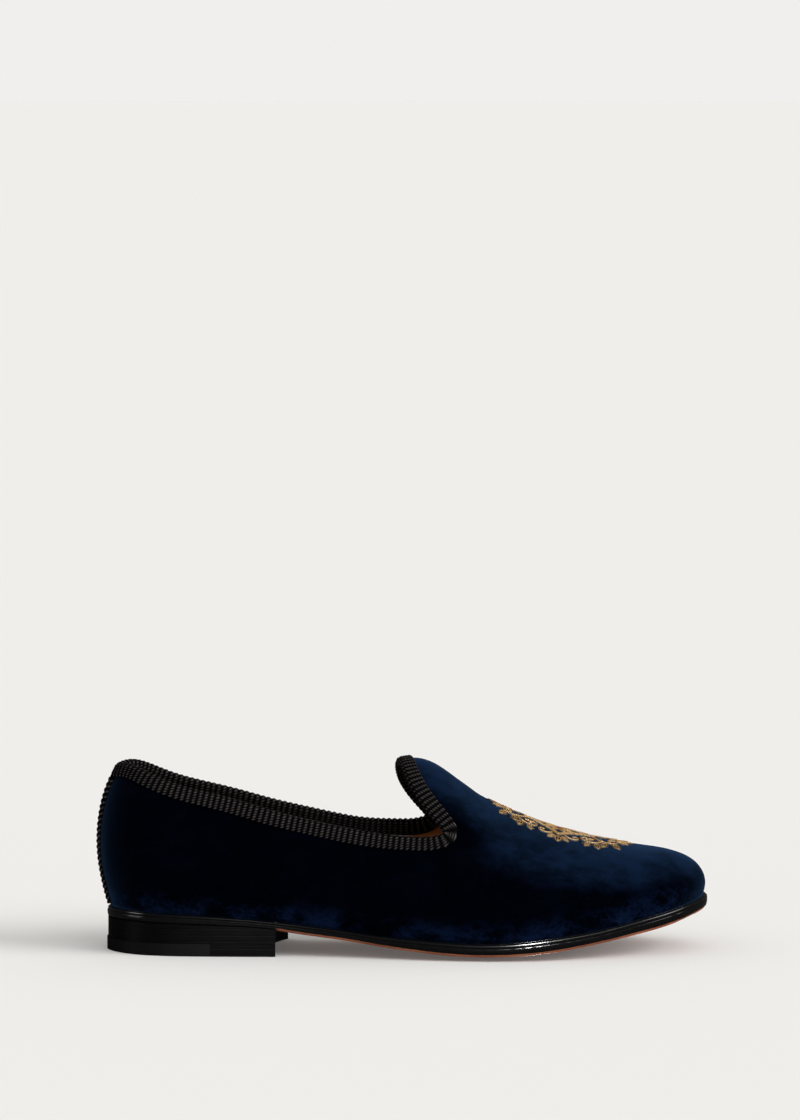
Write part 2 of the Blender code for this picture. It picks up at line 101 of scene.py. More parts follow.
# Creases pressed into the velvet, in millimetres: two ends, depth (minus is a trough, plus
# a ridge) and half width
CREASES = (
    ((35.5, -13, 70), (35.0, 12, 72), -0.75, 3.4),
    ((43.0, -15, 65), (42.5, 14, 67), 0.35, 3.6),
    ((27.0, -36, 58), (47.0, -45, 42), -0.45, 5.0),
    ((34.0, -40, 50), (58.0, -47, 34), 0.30, 5.5),
    ((24.0, 33, 58), (46.0, 43, 42), -0.45, 5.0),
    ((12.0, -36, 52), (8.0, -41, 26), -0.30, 7.0),
    ((-22.0, -31, 54), (-24.0, -34, 28), 0.28, 8.0),
    ((-50.0, -30, 60), (-48.0, -31, 30), -0.32, 9.0),
    ((-20.0, 30, 54), (-22.0, 31, 28), -0.30, 9.0),
    ((-92.0, -29, 66), (-88.0, -31, 34), 0.25, 9.0),
    ((60.0, -44, 36), (70.0, -24, 52), -0.28, 5.0),
    ((72.0, -42, 34), (80.0, -24, 48), 0.20, 5.0),
    ((62.0, 42, 38), (70.0, 26, 52), -0.28, 5.0),
)

# The ornament on the vamp, in millimetres of the flat cloth: s down the ridge, t across it. Each
# line, leaf and knot is repeated by mirror images in both axes
ORNAMENT_X = 75.5 * MM
RIDGE_Y = 4.2 * MM
VAMP_HALF = (40, 24)
RIDGE_START, RIDGE_STEP, RIDGE_STEPS = 22, 0.55, 200
SCROLLS = (
    (
        (16.5, 2.2), (19.0, 5.6), (22.6, 8.4), (26.6, 8.6), (29.0, 6.2), (28.4, 3.4), (25.8, 2.9),
        (24.6, 4.8), (25.8, 6.2),
    ),
    (
        (21.4, 7.8), (19.8, 11.0), (16.6, 13.2), (12.9, 13.0), (11.0, 10.6), (12.2, 8.2),
        (14.6, 8.6), (14.8, 10.6), (13.4, 11.0),
    ),
    ((3.0, 13.2), (5.4, 15.4), (8.4, 15.6), (9.8, 13.6), (8.6, 12.0), (7.0, 12.8)),
)
# s, t, direction in degrees, length, half width
LEAVES = (
    (29.0, 0.0, 0, 8.0, 2.2),
    (28.6, 1.8, 38, 7.4, 1.9),
    (27.2, 9.0, 66, 7.0, 1.8),
    (23.2, 9.6, 104, 6.8, 1.7),
    (18.8, 13.0, 80, 6.4, 1.7),
    (15.2, 14.2, 112, 5.4, 1.4),
    (17.6, 6.8, 152, 4.6, 1.2),
    (0.0, 15.8, 90, 6.4, 2.0),
    (1.6, 15.6, 50, 5.6, 1.6),
)
RED_KNOTS = ((11.2, 0.0, 0.95), (24.6, 6.2, 0.8), (7.6, 5.4, 0.8))
TEAL_KNOTS = ((0.0, 10.2, 0.95), (20.8, 2.0, 0.85), (12.6, 10.6, 0.8))
GOLD_KNOTS = (
    (12.9, 1.4, 0.5), (14.0, 0.0, 0.5), (2.0, 10.6, 0.45), (0.0, 11.8, 0.45), (31.8, 6.4, 0.5),
    (24.2, 13.6, 0.5), (12.4, 16.2, 0.5),
)
LOZENGES = ((18.0, 15.2), (15.6, 13.0))  # half length and half width
PETALS = 8
PETAL_START = 1.7  # from the middle of the rosette
PETAL_SIZE = (6.4, 1.5)  # length and half width
HEART = 1.5  # radius of the knot in the rosette's middle
SEED = 0.55  # radius of the small knots round it
FLOW_STEP = 0.35


# Shader maths


class Wire:
    """A socket of a material, so that masks are written as plain arithmetic."""

    def __init__(self, paint, socket):
        self.paint = paint
        self.socket = socket

    def with_(self, operation, first, second=0.0):
        return self.paint.node("ShaderNodeMath", {"operation": operation}, {0: first, 1: second})

    def __add__(self, other):
        return self.with_("ADD", self, other)

    __radd__ = __add__

    def __mul__(self, other):
        return self.with_("MULTIPLY", self, other)

    __rmul__ = __mul__

    def __sub__(self, other):
        return self.with_("SUBTRACT", self, other)

    def __rsub__(self, other):
        return self.with_("SUBTRACT", other, self)

    def at_least(self, other):
        return self.with_("MAXIMUM", self, other)

    def at_most(self, other):
        return self.with_("MINIMUM", self, other)

    def wave(self):
        return self.with_("SINE", self)


class Paint:
    """A material under construction."""

    def __init__(self, name, colour, roughness, **fixed):
        self.material = bpy.data.materials.new(name)
        self.material.use_nodes = True
        self.tree = self.material.node_tree
        self.shader = self.tree.nodes["Principled BSDF"]
        self.shader.inputs["Base Color"].default_value = (*colour, 1)
        self.shader.inputs["Roughness"].default_value = roughness
        for socket, value in fixed.items():
            self.shader.inputs[socket.replace("_", " ")].default_value = value

    def node(self, kind, settings=None, sockets=None, output=0):
        """Adds a node: its settings first, then the values or wires of its sockets."""
        made = self.tree.nodes.new(kind)
        for key, value in (settings or {}).items():
            setattr(made, key, value)
        for key, value in (sockets or {}).items():
            self.join(value, made.inputs[key])
        return Wire(self, made.outputs[output])

    def join(self, value, socket):
        if isinstance(value, Wire):
            self.tree.links.new(value.socket, socket)
        else:
            socket.default_value = value

    def set(self, name, value):
        self.join(value, self.shader.inputs[name])

    def place(self):
        """Object coordinates, in metres."""
        return self.node("ShaderNodeTexCoord", output=3)

    def along(self, name):
        """One of the piece's own attributes."""
        return self.node("ShaderNodeAttribute", {"attribute_name": name}, output=2)

    def axes(self):
        parts = self.node("ShaderNodeSeparateXYZ", sockets={0: self.place()}).socket.node
        return [Wire(self, socket) for socket in parts.outputs]

    def stretched(self, scale):
        settings = {"operation": "MULTIPLY"}
        return self.node("ShaderNodeVectorMath", settings, {0: self.place(), 1: scale})

    def noise(self, size, detail=2.0, roughness=0.5, vector=None, distortion=0.0):
        """Noise from 0 to 1 whose lumps are about size across."""
        sockets = {"Scale": 1 / size, "Detail": detail, "Roughness": roughness}
        sockets["Distortion"] = distortion
        sockets["Vector"] = vector or self.place()
        return self.node("ShaderNodeTexNoise", sockets=sockets)

    def ramp(self, value, low, high):
        """0 below low, 1 above high and smooth between."""
        settings = {"interpolation_type": "SMOOTHSTEP"}
        return self.node("ShaderNodeMapRange", settings, {0: value, 1: low, 2: high})

    def blend(self, mask, first, second):
        """Colour that goes from first to second as the mask goes from 0 to 1."""
        first = first if isinstance(first, Wire) else (*first, 1)
        second = second if isinstance(second, Wire) else (*second, 1)
        return self.node("ShaderNodeMix", {"data_type": "RGBA"}, {0: mask, 6: first, 7: second}, 2)

    def emboss(self, height, depth):
        """Bump whose height is in units of depth, in metres."""
        sockets = {"Height": height, "Distance": depth, "Strength": 1.0}
        self.set("Normal", self.node("ShaderNodeBump", sockets=sockets))


# Finishes


def midnight_velvet():
    paint = Paint(
        "midnight_velvet", (0.001, 0.002, 0.006), 0.8,
        Sheen_Weight=0.25, Sheen_Roughness=0.37, Sheen_Tint=(0.12, 0.27, 0.58, 1),
        Specular_IOR_Level=0.0,
    )
    x, _, z = paint.axes()
    sweep = paint.noise(24 * MM, 4, 0.6, distortion=0.6)
    streak = paint.noise(7 * MM, 4, 0.65, paint.stretched((0.6, 1.0, 1.3)))
    tuft = paint.noise(1.6 * MM, 3, 0.7)
    pile = paint.noise(0.5 * MM, 2, 0.7)
    # Painted sheen: the velvet low near the feather line and over the toe, where it turns away and
    # sheen would light it.
    low = 1 - paint.ramp(paint.along("above_feather"), 1 * MM, 13 * MM)
    toe = paint.ramp(x, 60 * MM, 140 * MM)
    marbled = paint.ramp(sweep * 0.55 + streak * 0.45, 0.36, 0.64)
    # Painted light: the faces that turn up are painted lighter, in marbled patches, as light from
    # above and sheen would show them.
    painted_top_light = paint.ramp(paint.along("painted_top_light"), 0.46, 1.0) * (0.40 + marbled * 0.9)
    brushed = paint.ramp(sweep * 0.45 + streak * 0.35 + tuft * 0.2, 0.43, 0.62)
    # Blotches of brushed pile, partly real tone and partly painted sheen: most near the feather line,
    # over the toe and on the upturned faces.
    mask = (brushed * (low + toe * 0.2 + painted_top_light * 0.6 + 0.08)).at_most(1.0)
    # Painted light: near black where the velvet faces sideways, navy where it faces up, and more over
    # the toe.
    dark = paint.blend(painted_top_light * (0.65 + toe * 0.25), (0.0001, 0.0002, 0.0008), (0.0046, 0.0130, 0.034))
    colour = paint.blend(mask, dark, (0.0030, 0.0080, 0.027))
    scuff_x = paint.ramp(x, 25 * MM, 27 * MM) * (1 - paint.ramp(x, 30 * MM, 33 * MM))
    scuff_z = paint.ramp(z, 42 * MM, 46 * MM) * (1 - paint.ramp(z, 48 * MM, 50 * MM))
    scuff = scuff_x * scuff_z * (1 - paint.ramp(paint.along("below_ribbon"), 3 * MM, 6 * MM))
    combed = paint.ramp(paint.noise(0.9 * MM, 2, 0.6, paint.stretched((1.6, 1.0, 0.35))), 0.52, 0.66)
    colour = paint.blend(scuff * combed * 0.5, colour, (0.03, 0.075, 0.16))
    paint.set("Base Color", paint.blend(paint.ramp(pile, 0.35, 0.75) * 0.3, colour, dark))
    paint.set("Roughness", 0.7 + pile * 0.25)
    paint.emboss(pile * 0.5 + tuft * 0.3 + streak * 0.2, 0.3 * MM)
    return paint.material


def ribbed_ribbon():
    """Black threads with painted highlight on the crowns of the ribs and painted shade in the grooves.
    """
    paint = Paint(
        "ribbed_ribbon", (0.012, 0.0105, 0.010), 0.5, Specular_IOR_Level=0.01,
    )
    along = paint.along("along")
    across = paint.along("across")
    crown = 0.5 + (along * (math.tau / RIB_PITCH) + math.pi / 2).wave() * 0.5
    twist = (along * (math.tau / RIB_PITCH) + across * (math.tau / TWIST_PITCH)).wave()
    fine = along * (math.tau / (RIB_PITCH / 5)) + across * (math.tau / (TWIST_PITCH * 0.8))
    strands = fine.wave()
    dust = paint.noise(1.3 * MM, 2, 0.6)
    # Painted highlight on the crowns and near black painted shade in the grooves, broken up by the
    # twist, the strands and a noise.
    mask = crown * crown * paint.ramp(twist * 0.45 + strands * 0.2 + dust, 0.1, 1.05)
    colour = paint.blend(mask, (0.0003, 0.0002, 0.0002), (0.078, 0.068, 0.070))
    paint.set("Base Color", colour)
    paint.set("Roughness", 0.7 - mask * 0.3)
    paint.emboss(strands * 0.5 + dust * 0.5, 0.16 * MM)
    return paint.material


def lining_leather(name, colour, dark):
    paint = Paint(name, colour, 0.5, Specular_IOR_Level=0.4)
    cells = paint.node(
        "ShaderNodeTexVoronoi", {"feature": "DISTANCE_TO_EDGE"},
        {"Vector": paint.place(), "Scale": 1 / (0.9 * MM)},
    )
    cloud = paint.noise(14 * MM, 3)
    paint.set("Base Color", paint.blend(paint.ramp(cloud, 0.3, 0.7), dark, colour))
    paint.set("Roughness", 0.42 + cloud * 0.2)
    paint.emboss(paint.ramp(cells, 0.0, 0.2) * 0.6 + paint.noise(0.3 * MM) * 0.4, 0.06 * MM)
    return paint.material


def waxed_edge():
    paint = Paint(
        "waxed_edge", (0.003, 0.003, 0.0035), 0.22,
        Coat_Weight=0.85, Coat_Roughness=0.16, Specular_IOR_Level=0.02,
    )
    fibres = paint.noise(1.2 * MM, 3, 0.6, paint.stretched((0.25, 0.25, 1.8)))
    paint.set("Base Color", paint.blend(fibres, (0.001, 0.001, 0.0012), (0.005, 0.0047, 0.005)))
    paint.set("Roughness", 0.16 + fibres * 0.18)
    paint.emboss(fibres * 0.5 + paint.noise(0.5 * MM) * 0.5, 0.07 * MM)
    return paint.material


def sole_leather():
    """Red-brown underside, with the edge inked black down to a line above it."""
    paint = Paint(
        "sole_leather", (0.23, 0.075, 0.038), 0.4,
        Coat_Weight=0.6, Coat_Roughness=0.16, Specular_IOR_Level=0.02,
    )
    fibres = paint.noise(1.2 * MM, 3, 0.6, paint.stretched((0.25, 0.25, 1.8)))
    cloud = paint.noise(22 * MM, 3)
    x, _, _ = paint.axes()
    height = paint.along("above_underside") + fibres * (0.35 * MM)
    over_heel = 1 - paint.ramp(x, BREAST - 3 * MM, BREAST)
    ink = paint.ramp(height, 1.30 * MM, 1.60 * MM).at_least(over_heel)
    brown = paint.blend(paint.ramp(cloud, 0.3, 0.7), (0.20, 0.060, 0.031), (0.32, 0.115, 0.060))
    black = paint.blend(fibres, (0.001, 0.001, 0.001), (0.005, 0.0047, 0.005))
    paint.set("Base Color", paint.blend(ink, brown, black))
    paint.set("Roughness", 0.42 - ink * 0.2 + fibres * 0.12)
    paint.emboss(fibres * 0.6 + paint.noise(0.5 * MM) * 0.4, 0.05 * MM)
    return paint.material


def heel_leather():
    """Lifts of stained leather, with fine level lines where they are pressed together."""
    paint = Paint(
        "heel_leather", (0.006, 0.005, 0.005), 0.34,
        Coat_Weight=0.03, Coat_Roughness=0.25, Specular_IOR_Level=0.025,
    )
    _, _, z = paint.axes()
    fibres = paint.noise(1.0 * MM, 4, 0.65, paint.stretched((0.07, 0.07, 2.2)))
    cloud = paint.noise(17 * MM, 2)
    lines = paint.ramp((z * (math.tau / (3.1 * MM))).wave(), 0.93, 1.0)
    shade = (fibres * 0.8 + cloud * 0.3 - lines * 0.5).at_least(0.0)
    paint.set("Base Color", paint.blend(shade, (0.0004, 0.0003, 0.0004), (0.0038, 0.0030, 0.0031)))
    paint.set("Roughness", 0.26 + fibres * 0.22)
    paint.emboss(fibres * 0.6 - lines * 0.4, 0.08 * MM)
    return paint.material


def heel_rubber():
    paint = Paint("heel_rubber", (0.004, 0.004, 0.004), 0.45, Specular_IOR_Level=0.04)
    speck = paint.noise(0.6 * MM, 3, 0.6)
    paint.set("Base Color", paint.blend(speck, (0.0012, 0.0012, 0.0014), (0.0045, 0.0042, 0.0044)))
    paint.set("Roughness", 0.38 + speck * 0.25)
    paint.emboss(speck, 0.05 * MM)
    return paint.material


def thread(name, deep, bright, roughness, metallic):
    """Embroidery thread: fine strands twisted round the cord."""
    paint = Paint(name, bright, roughness, Specular_IOR_Level=0.4)
    strands = (paint.along("along") * (math.tau / CORD_TWIST) + paint.along("across")).wave()
    worn = paint.noise(2.2 * MM, 2)
    mask = paint.ramp(strands * 0.7 + worn, 0.1, 1.2)
    paint.set("Base Color", paint.blend(mask, deep, bright))
    paint.set("Metallic", mask * metallic)
    paint.emboss(strands, 0.08 * MM)
    return paint.material


# Modelling helpers


def alone(piece):
    """Selects one piece and nothing else."""
    bpy.ops.object.select_all(action="DESELECT")
    piece.select_set(True)
    bpy.context.view_layer.objects.active = piece


def apply(piece, kind, **settings):
    alone(piece)
    modifier = piece.modifiers.new(kind.lower(), kind)
    for name, value in settings.items():
        setattr(modifier, name, value)
    bpy.ops.object.modifier_apply(modifier=modifier.name)


def subdivide(piece, levels):
    apply(piece, "SUBSURF", levels=levels, render_levels=levels)


def copied(node, name):
    """A solid's mesh as a new piece, its triangles merged and paired into quads."""
    piece = bpy.data.objects.new(name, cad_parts[node].data.copy())
    bpy.context.scene.collection.objects.link(piece)
    alone(piece)
    bpy.ops.object.mode_set(mode="EDIT")
    bpy.ops.mesh.select_all(action="SELECT")
    bpy.ops.mesh.customdata_custom_splitnormals_clear()
    bpy.ops.mesh.remove_doubles(threshold=0.005 * MM)
    bpy.ops.mesh.tris_convert_to_quads(face_threshold=0.6, shape_threshold=0.9)
    bpy.ops.object.mode_set(mode="OBJECT")
    return piece


def dress(piece, material, slot, *nodes):
    """Gives a finished piece its material and place in the frame."""
    piece.data.materials.clear()
    piece.data.materials.append(material)
    alone(piece)
    bpy.ops.object.shade_smooth()
    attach(piece, "root")
    if nodes:
        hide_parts(*nodes)
    return piece


def note(piece, name, values):
    """Stores a number at each point of a piece."""
    attribute = piece.data.attributes.new(name, "FLOAT", "POINT")
    attribute.data.foreach_set("value", values)


def tree_of(points):
    """Finds the nearest of some points, and its number."""
    tree = KDTree(len(points))
    for i, point in enumerate(points):
        tree.insert(point, i)
    tree.balance()
    return tree


def face_outwards(piece):
    alone(piece)
    bpy.ops.object.mode_set(mode="EDIT")
    bpy.ops.mesh.select_all(action="SELECT")
    bpy.ops.mesh.normals_make_consistent(inside=False)
    bpy.ops.object.mode_set(mode="OBJECT")


def surface(piece):
    mesh = piece.data
    points = [v.co.copy() for v in mesh.vertices]
    return BVHTree.FromPolygons(points, [tuple(face.vertices) for face in mesh.polygons])


def crease(piece):
    """Presses the table of creases into a piece, along its own normals."""
    mesh = piece.data
    count = len(mesh.vertices)
    place = np.empty(count * 3)
    normal = np.empty(count * 3)
    mesh.vertices.foreach_get("co", place)
    mesh.vertices.foreach_get("normal", normal)
    place = place.reshape(-1, 3)
    normal = normal.reshape(-1, 3)
    moved = np.zeros(count)
    for start, end, depth, width in CREASES:
        start = np.array(start) * MM
        run = np.array(end) * MM - start
        share = np.clip((place - start) @ run / (run @ run), 0, 1)
        off = np.linalg.norm(place - start - share[:, None] * run, axis=1)
        fade = 0.35 + 0.65 * np.sin(math.pi * np.clip(share * 0.8 + 0.1, 0, 1))
        moved += depth * MM * np.exp(-((off / (width * MM)) ** 2)) * fade
    place += normal * moved[:, None]
    mesh.vertices.foreach_set("co", place.ravel())
    mesh.update()


def split_upper():
    """The upper's outer and inner faces, parted at its sharp edges, as two open pieces."""
    whole = copied("upper", "velvet_upper")
    bpy.ops.object.mode_set(mode="EDIT")
    bpy.ops.mesh.select_mode(type="EDGE")
    bpy.ops.mesh.select_all(action="DESELECT")
    bpy.ops.mesh.edges_select_sharp(sharpness=math.radians(55))
    bpy.ops.mesh.edge_split(type="EDGE")
    bpy.ops.mesh.separate(type="LOOSE")
    bpy.ops.object.mode_set(mode="OBJECT")
    found = sorted(bpy.context.selected_objects, key=lambda o: -len(o.data.polygons))
    skins = sorted(found[:2], key=lambda o: -o.dimensions.y)
    for rim in found[2:]:
        bpy.data.objects.remove(rim)
    skins[0].name = "velvet_upper"
    skins[1].name = "lining"
    return skins


def rim_loops(piece):
    """The open edges of a piece as closed loops of points, the highest loop first."""
    counts = {}
    for face in piece.data.polygons:
        for edge in face.edge_keys:
            counts[edge] = counts.get(edge, 0) + 1
    links = {}
    for (a, b), faces in counts.items():
        if faces == 1:
            links.setdefault(a, []).append(b)
            links.setdefault(b, []).append(a)
    loops = []
    while links:
        start = next(iter(links))
        loop = [start]
        here = links.pop(start)[0]
        while here != start:
            loop.append(here)
            ahead = [p for p in links.pop(here) if p in links or p == start]
            if not ahead:
                break
            unseen = [p for p in ahead if p != loop[-2]]
            here = unseen[0] if unseen else start
        loops.append([piece.data.vertices[i].co.copy() for i in loop])
    return sorted(loops, key=lambda loop: -sum(p.z for p in loop) / len(loop))


def evenly(points, step, closed=True):
    """Points at an even spacing near step along a line."""
    line = points + points[:1] if closed else points
    run = np.array([tuple(p) for p in line])
    reach = np.concatenate([[0], np.cumsum(np.linalg.norm(np.diff(run, axis=0), axis=1))])
    count = max(2, round(reach[-1] / step))
    at = np.linspace(0, reach[-1], count + 1)
    if closed:
        at = at[:-1]
    return np.column_stack([np.interp(at, reach, run[:, k]) for k in range(3)])


def smoothed(points, passes, closed=True):
    """A line with its corners eased."""
    for _ in range(passes):
        ahead = np.roll(points, -1, axis=0)
        behind = np.roll(points, 1, axis=0)
        eased = (behind + 2 * points + ahead) / 4
        if not closed:
            eased[0], eased[-1] = points[0], points[-1]
        points = eased
    return points


def woven(name, rows, marks, closed):
    """A mesh through rows of points, each a closed ring, with two numbers noted at each point."""
    count = len(rows[0])
    points = np.array(rows).reshape(-1, 3)
    faces = []
    for i in range(len(rows) if closed else len(rows) - 1):
        first = i * count
        second = (i + 1) % len(rows) * count
        for j in range(count):
            k = (j + 1) % count
            faces.append((first + j, second + j, second + k, first + k))
    if not closed:
        faces.append(tuple(range(count))[::-1])
        faces.append(tuple(range(len(points) - count, len(points))))
    mesh = bpy.data.meshes.new(name)
    mesh.from_pydata(points.tolist(), [], faces)
    piece = bpy.data.objects.new(name, mesh)
    bpy.context.scene.collection.objects.link(piece)
    marks = np.array(marks).reshape(-1, 2)
    note(piece, "along", marks[:, 0])
    note(piece, "across", marks[:, 1])
    face_outwards(piece)
    return piece


def rib(along, across):
    """Height of the ribbon's face: rounded ribs across it, each a twisted cord."""
    phase = along / RIB_PITCH
    ridge = abs(math.cos(math.pi * phase)) ** 0.7
    twist = math.cos(math.tau * (across / TWIST_PITCH + phase))
    return RIB_HEIGHT * ridge + TWIST_HEIGHT * twist * ridge


def make_binding(velvet, lining):
    """Ribbon folded over the topline, from the velvet over the edge to the lining."""
    outside = surface(velvet)
    inside = surface(lining)
    edge = rim_loops(velvet)[0]
    inner_edge = rim_loops(lining)[0]
    coarse = smoothed(evenly(edge, 1.2 * MM), 3)
    around = np.linalg.norm(np.roll(coarse, -1, axis=0) - coarse, axis=1).sum()
    ribs = round(around / RIB_PITCH)
    line = evenly([Vector(p) for p in coarse], around / (ribs * RIB_STEPS))
    count = len(line)
    tree = tree_of(inner_edge)
    tangents = smoothed(np.roll(line, -1, axis=0) - np.roll(line, 1, axis=0), 12)
    partners = smoothed(np.array([tuple(tree.find(p)[0]) for p in line]), 20)
    normals = smoothed(np.array([tuple(outside.find_nearest(Vector(p))[1]) for p in line]), 10)
    downs = np.cross(tangents, normals)
    if downs[:, 2].sum() > 0:
        downs = -downs
    rows = []
    marks = []
    for i in range(count):
        point = Vector(line[i])
        partner = Vector(partners[i])
        normal = Vector(normals[i]).normalized()
        down = Vector(downs[i]).normalized()
        along = i / RIB_STEPS * RIB_PITCH
        profile = fold(point, partner, normal, down, outside, inside)
        row = []
        for place, out, across, ribbed in profile:
            row.append(place + out * (rib(along, across) * ribbed))
            marks.append((along, across))
        rows.append([tuple(p) for p in row])
    piece = woven("ribbed_binding", rows, marks, closed=True)
    return dress(piece, ribbed_ribbon(), "ribbon", "topline_binding")


def fold(point, partner, normal, down, outside, inside):
    """The ribbon's section at one place.

    Each entry is a point, its direction outwards, its distance across and how ribbed it is.
    """
    clear = RIBBON_CLEAR
    rise = RIBBON_THICK - RIB_HEIGHT
    section = []
    leg_steps = 15
    for j in range(leg_steps + 1):
        reach = RIBBON_WIDTH * (1 - j / leg_steps)
        seat = outside.find_nearest(point + down * reach)
        out = seat[1] if j < leg_steps else normal
        ribbed = min(1.0, (RIBBON_WIDTH - reach) / SELVEDGE) * 0.75 + 0.25
        lift = clear + rise * (0.45 if j == 0 else 1.0)
        section.append((seat[0] + out * lift, out, -reach, ribbed if j else 0.0))
    middle = (point + partner) / 2
    half = (point - partner).length / 2 + clear + rise
    crest_steps = 9
    for j in range(1, crest_steps):
        turn = math.pi * j / crest_steps
        out = (normal * math.cos(turn) - down * math.sin(turn)).normalized()
        crown = 0.8 * MM + 0.6 * half
        place = middle + normal * half * math.cos(turn) - down * crown * math.sin(turn)
        section.append((place, out, j / crest_steps * math.pi * half, 1.0))
    crest = math.pi * half
    for j in range(leg_steps - 2):
        reach = RIBBON_INSIDE * j / (leg_steps - 3)
        seat = inside.find_nearest(partner + down * reach)
        out = seat[1]
        ribbed = min(1.0, (RIBBON_INSIDE - reach) / SELVEDGE)
        section.append((seat[0] + out * (clear + rise), out, crest + reach, ribbed))
    back_steps = 4
    for j in range(back_steps):
        reach = RIBBON_INSIDE * (1 - j / (back_steps - 1))
        seat = inside.find_nearest(partner + down * reach)
        section.append((seat[0] + seat[1] * clear * 0.5, seat[1], reach, 0.0))
    section.append((middle - down * clear, -down, 0.0, 0.0))
    for j in range(back_steps):
        reach = RIBBON_WIDTH * j / (back_steps - 1)
        seat = outside.find_nearest(point + down * reach)
        section.append((seat[0] + seat[1] * clear * 0.5, seat[1], -reach, 0.0))
    return section


def make_back_strip(velvet):
    """The same ribbon laid over the seam at the back, from the binding down to the rand."""
    skin = surface(velvet)
    low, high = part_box("back_strip")
    seam = []
    for i in range(BACK_HEIGHTS):
        height = low.z + (high.z - low.z) * i / (BACK_HEIGHTS - 1)
        hit = skin.ray_cast(Vector((low.x - 0.05, 0.0, height)), Vector((1, 0, 0)))
        if hit[0]:
            seam.append(hit[0])
    line = evenly(seam, RIB_PITCH / RIB_STEPS, closed=False)
    rows = []
    marks = []
    rise = RIBBON_THICK - RIB_HEIGHT + 0.1 * MM
    for i, point in enumerate(line):
        along = i / RIB_STEPS * RIB_PITCH
        over = []
        under = []
        for j in range(BACK_STEPS + 1):
            across = BACK_STRIP_HALF * (2 * j / BACK_STEPS - 1)
            seat, out, _, _ = skin.find_nearest(Vector(point) + Vector((0, across, 0)))
            edge = min(1.0, (BACK_STRIP_HALF - abs(across)) / SELVEDGE)
            lift = RIBBON_CLEAR + rise * (0.4 + 0.6 * edge) + rib(along, across) * edge
            over.append((tuple(seat + out * lift), (along, across)))
            if j % 4 == 0:
                under.append((tuple(seat + out * RIBBON_CLEAR / 2), (along, across)))
        ring = over + under[::-1]
        rows.append([place for place, _ in ring])
        marks.append([mark for _, mark in ring])
    piece = woven("ribbed_back_strip", rows, marks, closed=False)
    return dress(piece, bpy.data.materials["ribbed_ribbon"], "ribbon", "back_strip")


def rounded(node, name, width, levels=2):
    """A solid again, with its edges eased, its curves made fine and its length kept."""
    piece = copied(node, name)
    apply(
        piece, "BEVEL", width=width, segments=2, limit_method="ANGLE",
        angle_limit=math.radians(32), harden_normals=False,
    )
    subdivide(piece, levels)
    low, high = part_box(node)
    ends = [vertex.co.x for vertex in piece.data.vertices]
    short_rear, short_front = min(ends) - low.x, high.x - max(ends)
    for vertex in piece.data.vertices:
        x = vertex.co.x
        vertex.co.x -= short_rear * max(0.0, 1 - (x - low.x) / END_REACH) ** 2
        vertex.co.x += short_front * max(0.0, 1 - (high.x - x) / END_REACH) ** 2
    piece.data.update()
    return piece


def make_upper():
    velvet, lining = split_upper()
    for piece in (velvet, lining):
        subdivide(piece, 2)
        crease(piece)
    return velvet, lining


def close_upper(velvet, lining):
    """Gives the velvet and the lining their thickness, towards each other."""
    loops = rim_loops(velvet)
    topline = loops[0]
    feather = loops[-1]
    tree = tree_of(feather)
    heights = []
    for vertex in velvet.data.vertices:
        near = tree.find(vertex.co)[0]
        heights.append(vertex.co.z - near.z)
    note(velvet, "above_feather", heights)
    # How far each point faces up, kept for the velvet's painted light from above.
    note(velvet, "painted_top_light", [vertex.normal.z for vertex in velvet.data.vertices])
    ribbon = tree_of(topline)
    below = [ribbon.find(vertex.co)[2] - RIBBON_WIDTH for vertex in velvet.data.vertices]
    note(velvet, "below_ribbon", below)
    for vertex, height in zip(velvet.data.vertices, heights):
        if height < AT_FEATHER:
            vertex.co.z -= TUCKED_IN
    apply(velvet, "SOLIDIFY", thickness=VELVET_THICK, offset=-1)
    apply(lining, "SOLIDIFY", thickness=LINING_THICK, offset=-1)
    dress(velvet, midnight_velvet(), "velvet", "upper")
    tan = lining_leather("tan_lining", (0.46, 0.20, 0.065), (0.34, 0.13, 0.04))
    dress(lining, tan, "lining_leather")


def moved(piece, shift, chosen):
    """Moves the points of a piece for which chosen(point, normal) is true."""
    for vertex in piece.data.vertices:
        if chosen(vertex.co, vertex.normal):
            vertex.co += Vector(shift)
    piece.data.update()
    return piece


def bulge(piece, plan, heights, joint_of):
    """Rounds the edge of the rand and sole as one: outwards at half its height, in at both ends.

    plan finds the nearest point of the feather line, and heights holds how high each lies. joint_of
    picks, from how far the piece's edge lies below that line, where the joint is.
    """
    edge = []
    for vertex in piece.data.vertices:
        level = Vector((vertex.normal.x, vertex.normal.y, 0))
        if level.length > 0.3:
            nearest = plan.find((vertex.co.x, vertex.co.y, 0))[1]
            edge.append((vertex, level.normalized(), heights[nearest] - vertex.co.z))
    joint = joint_of(drop for _, _, drop in edge)
    for vertex, outwards, drop in edge:
        share = (drop - EDGE_HEIGHT / 2) / (EDGE_HEIGHT / 2)
        closed = max(0.0, 1 - abs(drop - joint) / JOINT_REACH)
        reach = EDGE_BULGE * (0.5 - min(1.0, share**2)) + JOINT_FILL * closed
        vertex.co += outwards * reach
    piece.data.update()


